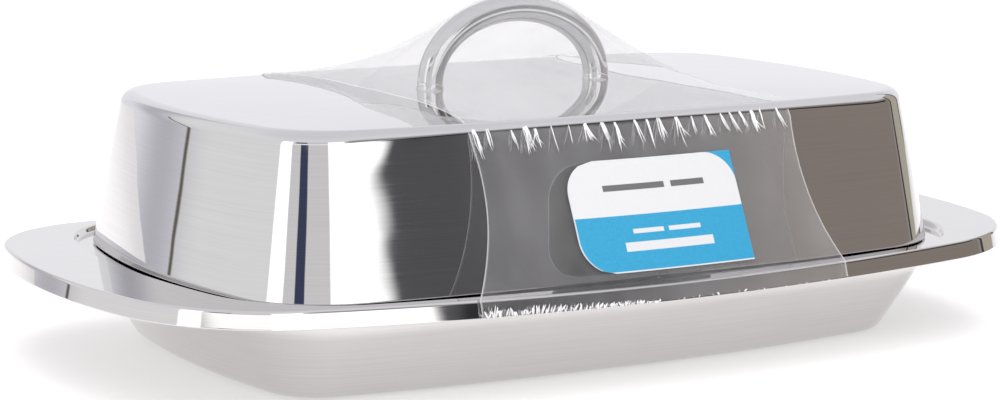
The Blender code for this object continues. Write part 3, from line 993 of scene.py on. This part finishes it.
def inside(tree, value, low, high, soft):
    """1 between two values and 0 outside them, with soft edges."""
    rise = ramp(tree, value, low - soft, low + soft)
    fall = ramp(tree, value, high - soft, high + soft, 1.0, 0.0)
    return calculate(tree, "MULTIPLY", rise, fall)


def printed_label():
    """Glossy print: a white panel with one round corner over sky blue, plain bars where words would be.

    A white border runs along the label's round left side and its lower edge. Its back is plain grey.
    """
    made, tree, shader, place = new_material("printed_label")
    layout = node(tree, "ShaderNodeUVMap", uv_map="layout").outputs[0]
    split = node(tree, "ShaderNodeSeparateXYZ", {"Vector": layout})
    across = calculate(tree, "MULTIPLY", split.outputs["X"], LABEL_WIDTH * 1000)
    up = calculate(tree, "MULTIPLY", split.outputs["Y"], LABEL_HEIGHT * 1000)
    width, height, turn = LABEL_WIDTH * 1000, LABEL_HEIGHT * 1000, PRINT_CORNER
    round_corner = LABEL_CORNER_RADIUS * 1000
    past_x = calculate(tree, "MAXIMUM", calculate(tree, "SUBTRACT", across, width - turn), 0.0)
    past_y = calculate(tree, "MAXIMUM", calculate(tree, "SUBTRACT", up, height - turn), 0.0)
    squares = calculate(tree, "MULTIPLY", past_x, past_x)
    reach = calculate(tree, "SQRT", calculate(tree, "MULTIPLY_ADD", past_y, past_y, squares))
    rounded_off = ramp(tree, reach, turn - PRINT_SOFT, turn + PRINT_SOFT, 1.0, 0.0)
    upper = ramp(tree, up, PRINT_SPLIT * height - PRINT_SOFT, PRINT_SPLIT * height + PRINT_SOFT)
    panel = calculate(tree, "MULTIPLY", rounded_off, upper)
    dots = pattern(tree, place, (2600.0, 2600.0, 2600.0), 1.0, 0.5)
    ink = mixed(tree, dots, (0.008, 0.25, 0.46, 1.0), (0.030, 0.33, 0.54, 1.0))
    paper = mixed(tree, dots, (0.62, 0.625, 0.635, 1.0), (0.66, 0.665, 0.67, 1.0))
    colour = mixed(tree, panel, ink, paper)
    past_low = calculate(tree, "SUBTRACT", round_corner, up)
    past_high = calculate(tree, "SUBTRACT", up, height - round_corner)
    over = calculate(tree, "MAXIMUM", calculate(tree, "MAXIMUM", past_low, past_high), 0.0)
    back = calculate(tree, "MULTIPLY", over, -1.0)
    square = calculate(tree, "MULTIPLY_ADD", over, back, round_corner**2)
    cut = calculate(tree, "SUBTRACT", round_corner, calculate(tree, "SQRT", square))
    from_side = calculate(tree, "MINIMUM", calculate(tree, "SUBTRACT", across, cut), up)
    border = ramp(tree, from_side, PRINT_BORDER - PRINT_SOFT, PRINT_BORDER + PRINT_SOFT, 1.0, 0.0)
    colour = mixed(tree, border, colour, paper)
    for left, right, low, high, tone in PRINT_BARS:
        bar = calculate(
            tree,
            "MULTIPLY",
            inside(tree, across, left * width, right * width, PRINT_SOFT),
            inside(tree, up, low * height, high * height, PRINT_SOFT),
        )
        colour = mixed(tree, bar, colour, (*tone, 1.0))
    behind = calculate(tree, "GREATER_THAN", split.outputs["X"], LABEL_BACK_SHIFT / 2)
    colour = mixed(tree, behind, colour, (0.40, 0.41, 0.40, 1.0))
    tree.links.new(colour, shader.inputs["Base Color"])
    tree.links.new(ramp(tree, dots, 0.3, 0.7, 0.28, 0.36), shader.inputs["Roughness"])
    shader.inputs["Coat Weight"].default_value = 0.25
    shader.inputs["Coat Roughness"].default_value = 0.12
    inputs = {"Strength": 0.15, "Distance": 0.00002, "Height": dots}
    tree.links.new(node(tree, "ShaderNodeBump", inputs).outputs[0], shader.inputs["Normal"])
    return made


# ---------------------------------------------------------------- studio


def add_floor():
    half = FLOOR_SIZE / 2
    corners = [(-half, -half, 0.0), (half, -half, 0.0), (half, half, 0.0), (-half, half, 0.0)]
    mesh = bpy.data.meshes.new("studio_floor")
    mesh.from_pydata(corners, [], [(0, 1, 2, 3)])
    made, _, shader, _ = new_material("studio_floor")
    shader.inputs["Base Color"].default_value = (*FLOOR_COLOUR, 1.0)
    shader.inputs["Roughness"].default_value = 0.9
    shader.inputs["Specular IOR Level"].default_value = 0.1
    shader.inputs["Emission Color"].default_value = (1.0, 1.0, 1.0, 1.0)
    shader.inputs["Emission Strength"].default_value = FLOOR_GLOW
    mesh.materials.append(made)
    floor = bpy.data.objects.new("studio_floor", mesh)
    floor.location = (0.0, 0.0, CAD_LOW.z - FLOOR_DROP)
    bpy.context.scene.collection.objects.link(floor)


def add_world():
    """The soft surroundings of a light tent, by direction: azimuth 0 is the front and 90 the right."""
    world = bpy.data.worlds.new("light_tent")
    world.use_nodes = True
    bpy.context.scene.world = world
    tree = world.node_tree
    place = node(tree, "ShaderNodeTexCoord").outputs["Generated"]
    split = node(tree, "ShaderNodeSeparateXYZ", {"Vector": place})
    x, y, z = (split.outputs[axis] for axis in "XYZ")
    backwards = calculate(tree, "MULTIPLY", y, -1.0)
    azimuth = calculate(tree, "DEGREES", calculate(tree, "ARCTAN2", x, backwards))
    elevation = calculate(tree, "DEGREES", calculate(tree, "ARCSINE", z))
    colour = mixed(tree, ramp(tree, elevation, 5.0, 75.0), (0.98, 0.98, 1.02, 1.0), (0.85, 0.85, 0.90, 1.0))
    height = node(tree, "ShaderNodeCombineXYZ", {"Z": elevation}).outputs[0]
    ripple = pattern(tree, height, (1.0, 1.0, RIPPLES_PER_DEGREE), 2.0, 0.45)
    ripple = calculate(tree, "SUBTRACT", ripple, 0.5)
    for panel in PANELS:
        upright = calculate(tree, "MULTIPLY_ADD", elevation, -panel.slant, azimuth)
        rippled = calculate(tree, "MULTIPLY_ADD", ripple, 2.0 * panel.ripple, upright)
        wide = inside(tree, rippled, panel.left, panel.right, panel.soft)
        tall = inside(tree, elevation, panel.low, panel.high, panel.soft)
        mask = calculate(tree, "MULTIPLY", wide, tall)
        colour = mixed(tree, mask, colour, (*panel.colour, 1.0))
    seen = node(tree, "ShaderNodeLightPath").outputs["Is Camera Ray"]
    colour = mixed(tree, seen, colour, (1.0, 1.0, 1.0, 1.0))
    tree.links.new(colour, tree.nodes["Background"].inputs["Color"])
    tree.nodes["Background"].inputs["Strength"].default_value = 1.0


def add_soft_light(name, azimuth, elevation, distance, size, watts):
    """A square lamp aimed at the dish. Its own shape isn't mirrored in the steel: the tent's panels are."""
    light = bpy.data.lights.new(name, "AREA")
    light.shape = "SQUARE"
    light.size = size
    light.energy = watts
    obj = bpy.data.objects.new(name, light)
    out = towards(azimuth, elevation)
    obj.location = (CAD_LOW + CAD_HIGH) / 2 + out * distance
    obj.rotation_mode = "QUATERNION"
    obj.rotation_quaternion = (-out).to_track_quat("-Z", "Y")
    obj.visible_glossy = False
    bpy.context.scene.collection.objects.link(obj)


def towards(azimuth, elevation):
    """Unit vector from the dish to this side of it: azimuth 0 is the front and 90 the right, in degrees."""
    a, e = math.radians(azimuth), math.radians(elevation)
    return Vector((math.sin(a) * math.cos(e), -math.cos(a) * math.cos(e), math.sin(e)))


def add_camera():
    """A long lens a little above the dish, to the left of its front."""
    camera = bpy.data.cameras.new("camera")
    camera.lens = CAMERA_LENS
    camera.clip_start = 0.01
    obj = bpy.data.objects.new("camera", camera)
    out = towards(CAMERA_AZIMUTH, CAMERA_ELEVATION)
    obj.location = (CAD_LOW + CAD_HIGH) / 2 + CAMERA_AIM + out * CAMERA_DISTANCE
    obj.rotation_mode = "QUATERNION"
    level = (-out).to_track_quat("-Z", "Y")
    obj.rotation_quaternion = Quaternion(-out, -math.radians(CAMERA_ROLL)) @ level
    bpy.context.scene.collection.objects.link(obj)
    bpy.context.scene.camera = obj


def main():
    noise.seed_set(WAVE_NOISE_SEED)
    tray_piece(polished_steel("tray_steel", *TRAY_FINISH))
    lid_piece(polished_steel("lid_steel", *LID_FINISH))
    handle_piece(polished_steel("handle_steel", *HANDLE_FINISH))
    film_piece(clear_film())
    torn = torn_film()
    shoulder_fringe(torn)
    lip_fringe(torn)
    label_piece(printed_label())
    add_floor()
    add_world()
    add_soft_light("key_light", -25.0, 55.0, 0.9, 0.8, KEY_WATTS)
    add_soft_light("top_light", 150.0, 75.0, 0.9, 0.9, TOP_WATTS)
    add_camera()
    bpy.context.scene.view_settings.view_transform = "Standard"


main()
